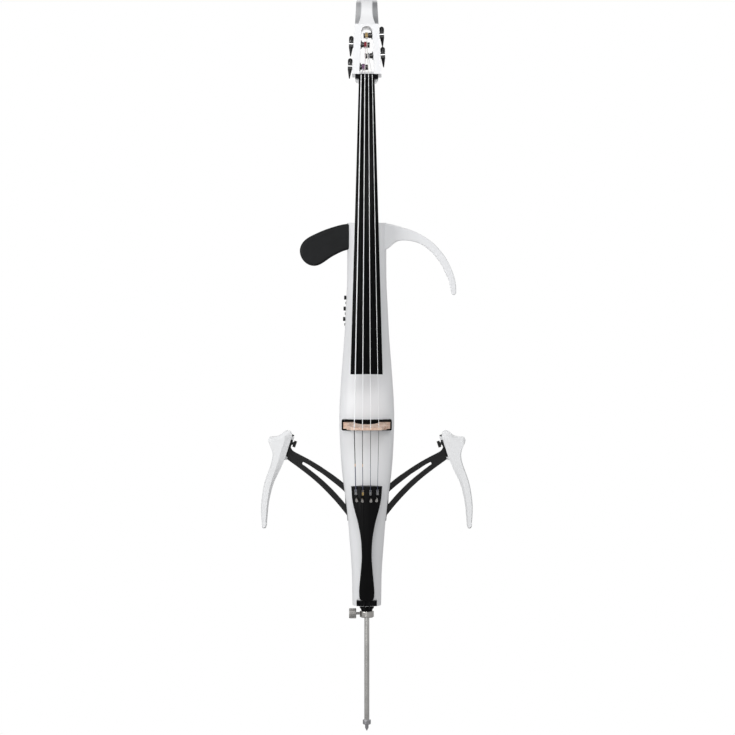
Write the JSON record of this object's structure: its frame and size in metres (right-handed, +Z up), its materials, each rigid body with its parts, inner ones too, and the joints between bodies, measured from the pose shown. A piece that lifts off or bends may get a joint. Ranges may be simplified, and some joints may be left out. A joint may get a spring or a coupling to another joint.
{
  "type": "electric cello",
  "caption": "Slim-bodied electric cello in white, with arched pegbox window, geared tuners, maple bridge, curved upper arm, folding forked knee rests and sliding endpin.",
  "frame": {"origin": "point of the endpin, on the instrument's middle plane", "axes": "+Z up along the body towards the scroll, -Y the side the bow plays on, +X to the right as a viewer in front sees it"},
  "size_m": [0.4174, 0.139, 1.4405],
  "materials": {
    "white_lacquer_wood": "gloss white lacquer over wood",
    "white_plastic": "gloss pearl white",
    "ebony": "polished black",
    "maple": "bare figured maple",
    "black_plastic": "satin black",
    "tailpiece_black": "moulded black",
    "grey_button": "satin grey",
    "nickel": "bright nickel",
    "steel": "drawn steel",
    "black_steel": "black",
    "post_steel": "dark chrome",
    "lever_brass": "plated brass",
    "string_steel": "flat wound steel with silk ends",
    "cord": "braided black",
    "pickup": "potted film",
    "board": "green laminate"
  },
  "bodies": {
    "cello": {"body": "white_lacquer_wood", "rear_cover": "white_plastic", "cover_screws": "steel", "circuit_board": "board", "batteries": "steel", "control_panel": "black_plastic", "output_jacks": "nickel", "fingerboard": "ebony", "nut": "ebony", "neck": "white_lacquer_wood", "pegbox": "white_plastic", "scroll": "white_plastic", "tuner_housings": "black_plastic", "bridge": "maple", "bridge_base": "black_plastic", "piezo_pickup": "pickup", "tailpiece": "tailpiece_black", "fine_tuner_levers": "lever_brass", "saddle": "black_plastic", "tail_cord": "cord", "end_plug": "black_plastic", "endpin_tube": "steel", "endpin_collar": "nickel", "string_g": "string_steel", "string_d": "string_steel", "string_a": "string_steel", "string_c": "string_steel", "upper_left_shell": "black_plastic", "upper_right_arm": "white_plastic", "arm_hinge_brackets": "black_steel"},
    "battery_door": {"battery_door": "white_plastic"},
    "endpin": {"endpin_rod": "steel", "endpin_tip": "steel"},
    "clamp_screw": {"endpin_clamp_screw": "nickel"},
    "tuner_knob_d": {"tuner_knob_d": "black_plastic"},
    "tuner_post_d": {"tuner_post_d": "post_steel"},
    "tuner_knob_g": {"tuner_knob_g": "black_plastic"},
    "tuner_post_g": {"tuner_post_g": "post_steel"},
    "tuner_knob_a": {"tuner_knob_a": "black_plastic"},
    "tuner_post_a": {"tuner_post_a": "post_steel"},
    "tuner_knob_c": {"tuner_knob_c": "black_plastic"},
    "tuner_post_c": {"tuner_post_c": "post_steel"},
    "fine_tuner_screw_c": {"fine_tuner_screw_c": "nickel"},
    "fine_tuner_screw_g": {"fine_tuner_screw_g": "nickel"},
    "fine_tuner_screw_d": {"fine_tuner_screw_d": "nickel"},
    "fine_tuner_screw_a": {"fine_tuner_screw_a": "nickel"},
    "knee_arm_left": {"knee_arm_left": "black_plastic", "claw_pin_left": "black_steel"},
    "knee_claw_left": {"knee_claw_left": "white_plastic"},
    "claw_lock_left": {"claw_lock_left": "black_plastic"},
    "knee_arm_right": {"knee_arm_right": "black_plastic", "claw_pin_right": "black_steel"},
    "knee_claw_right": {"knee_claw_right": "white_plastic"},
    "claw_lock_right": {"claw_lock_right": "black_plastic"},
    "control_knob_1": {"control_knob_1": "black_plastic"},
    "control_knob_2": {"control_knob_2": "black_plastic"},
    "control_knob_3": {"control_knob_3": "black_plastic"},
    "push_button_1": {"push_button_1": "grey_button"},
    "push_button_2": {"push_button_2": "grey_button"},
    "push_button_3": {"push_button_3": "grey_button"}
  },
  "joints": [
    {"name": "endpin_slide", "type": "slide", "parent": "cello", "child": "endpin", "axis": [0, 0, 1], "range_m": [0, 0.2]},
    {"name": "clamp_screw_turn", "type": "hinge", "parent": "cello", "child": "clamp_screw", "pos_m": [-0.028, 0, 0.234], "axis": [-1, 0, 0], "range_deg": [0, 720]},
    {"name": "battery_door_pull", "type": "slide", "parent": "cello", "child": "battery_door", "axis": [0, 1, 0], "range_m": [0, 0.03]},
    {"name": "tuner_knob_d_turn", "type": "hinge", "parent": "cello", "child": "tuner_knob_d", "pos_m": [0.02949, -0.01697, 1.36951], "axis": [-0.0509, 0.1036, 0.9933], "continuous": true},
    {"name": "tuner_post_d_turn", "type": "hinge", "parent": "cello", "child": "tuner_post_d", "pos_m": [0.0245, -0.01227, 1.36877], "axis": [0.9987, 0.0053, 0.0507], "continuous": true},
    {"name": "tuner_knob_g_turn", "type": "hinge", "parent": "cello", "child": "tuner_knob_g", "pos_m": [-0.03039, -0.01887, 1.35121], "axis": [0.0509, 0.1036, 0.9933], "continuous": true},
    {"name": "tuner_post_g_turn", "type": "hinge", "parent": "cello", "child": "tuner_post_g", "pos_m": [-0.0254, -0.01418, 1.35047], "axis": [-0.9987, 0.0053, 0.0507], "continuous": true},
    {"name": "tuner_knob_a_turn", "type": "hinge", "parent": "cello", "child": "tuner_knob_a", "pos_m": [0.03149, -0.02111, 1.32973], "axis": [-0.0509, 0.1036, 0.9933], "continuous": true},
    {"name": "tuner_post_a_turn", "type": "hinge", "parent": "cello", "child": "tuner_post_a", "pos_m": [0.0265, -0.01642, 1.32898], "axis": [0.9987, 0.0053, 0.0507], "continuous": true},
    {"name": "tuner_knob_c_turn", "type": "hinge", "parent": "cello", "child": "tuner_knob_c", "pos_m": [-0.03259, -0.02341, 1.30775], "axis": [0.0509, 0.1036, 0.9933], "continuous": true},
    {"name": "tuner_post_c_turn", "type": "hinge", "parent": "cello", "child": "tuner_post_c", "pos_m": [-0.0276, -0.01871, 1.307], "axis": [-0.9987, 0.0053, 0.0507], "continuous": true},
    {"name": "fine_tuner_c_turn", "type": "hinge", "parent": "cello", "child": "fine_tuner_screw_c", "pos_m": [-0.0192, -0.05787, 0.47007], "axis": [0, -0.8526, -0.5225], "range_deg": [-720, 720]},
    {"name": "fine_tuner_g_turn", "type": "hinge", "parent": "cello", "child": "fine_tuner_screw_g", "pos_m": [-0.0083, -0.06099, 0.46971], "axis": [0, -0.8526, -0.5225], "range_deg": [-720, 720]},
    {"name": "fine_tuner_d_turn", "type": "hinge", "parent": "cello", "child": "fine_tuner_screw_d", "pos_m": [0.0083, -0.06099, 0.46971], "axis": [0, -0.8526, -0.5225], "range_deg": [-720, 720]},
    {"name": "fine_tuner_a_turn", "type": "hinge", "parent": "cello", "child": "fine_tuner_screw_a", "pos_m": [0.0192, -0.05787, 0.47007], "axis": [0, -0.8526, -0.5225], "range_deg": [-720, 720]},
    {"name": "knee_arm_left_fold", "type": "hinge", "parent": "cello", "child": "knee_arm_left", "pos_m": [-0.035, 0.019, 0.428], "axis": [0.0995, 0, -0.995], "range_deg": [0, 90]},
    {"name": "knee_claw_left_fold", "type": "hinge", "parent": "knee_arm_left", "child": "knee_claw_left", "pos_m": [-0.1639, 0.019, 0.537], "axis": [-0.3216, 0, -0.9469], "range_deg": [0, 100]},
    {"name": "claw_lock_left_turn", "type": "hinge", "parent": "knee_arm_left", "child": "claw_lock_left", "pos_m": [-0.15232, 0.019, 0.57109], "axis": [0.9469, 0, -0.3216], "range_deg": [0, 180]},
    {"name": "knee_arm_right_fold", "type": "hinge", "parent": "cello", "child": "knee_arm_right", "pos_m": [0.035, 0.019, 0.428], "axis": [0.0995, 0, 0.995], "range_deg": [0, 90]},
    {"name": "knee_claw_right_fold", "type": "hinge", "parent": "knee_arm_right", "child": "knee_claw_right", "pos_m": [0.1639, 0.019, 0.537], "axis": [-0.3216, 0, 0.9469], "range_deg": [0, 100]},
    {"name": "claw_lock_right_turn", "type": "hinge", "parent": "knee_arm_right", "child": "claw_lock_right", "pos_m": [0.15232, 0.019, 0.57109], "axis": [-0.9469, 0, -0.3216], "range_deg": [0, 180]},
    {"name": "control_knob_1_turn", "type": "hinge", "parent": "cello", "child": "control_knob_1", "pos_m": [-0.042, 0.006, 0.8575], "axis": [-1, 0, 0], "range_deg": [-150, 150]},
    {"name": "control_knob_2_turn", "type": "hinge", "parent": "cello", "child": "control_knob_2", "pos_m": [-0.042, 0.006, 0.836], "axis": [-1, 0, 0], "range_deg": [-150, 150]},
    {"name": "control_knob_3_turn", "type": "hinge", "parent": "cello", "child": "control_knob_3", "pos_m": [-0.042, 0.006, 0.8155], "axis": [-1, 0, 0], "range_deg": [-150, 150]},
    {"name": "push_button_1_press", "type": "slide", "parent": "cello", "child": "push_button_1", "axis": [1, 0, 0], "range_m": [0, 0.0015], "stiffness_N_per_m": 400, "springref_m": -0.0005},
    {"name": "push_button_2_press", "type": "slide", "parent": "cello", "child": "push_button_2", "axis": [1, 0, 0], "range_m": [0, 0.0015], "stiffness_N_per_m": 400, "springref_m": -0.0005},
    {"name": "push_button_3_press", "type": "slide", "parent": "cello", "child": "push_button_3", "axis": [1, 0, 0], "range_m": [0, 0.0015], "stiffness_N_per_m": 400, "springref_m": -0.0005}
  ],
  "couplings": [
    {"joint": "tuner_post_d_turn", "follows": "tuner_knob_d_turn", "ratio": 0.071429},
    {"joint": "tuner_post_g_turn", "follows": "tuner_knob_g_turn", "ratio": 0.071429},
    {"joint": "tuner_post_a_turn", "follows": "tuner_knob_a_turn", "ratio": 0.071429},
    {"joint": "tuner_post_c_turn", "follows": "tuner_knob_c_turn", "ratio": 0.071429}
  ]
}
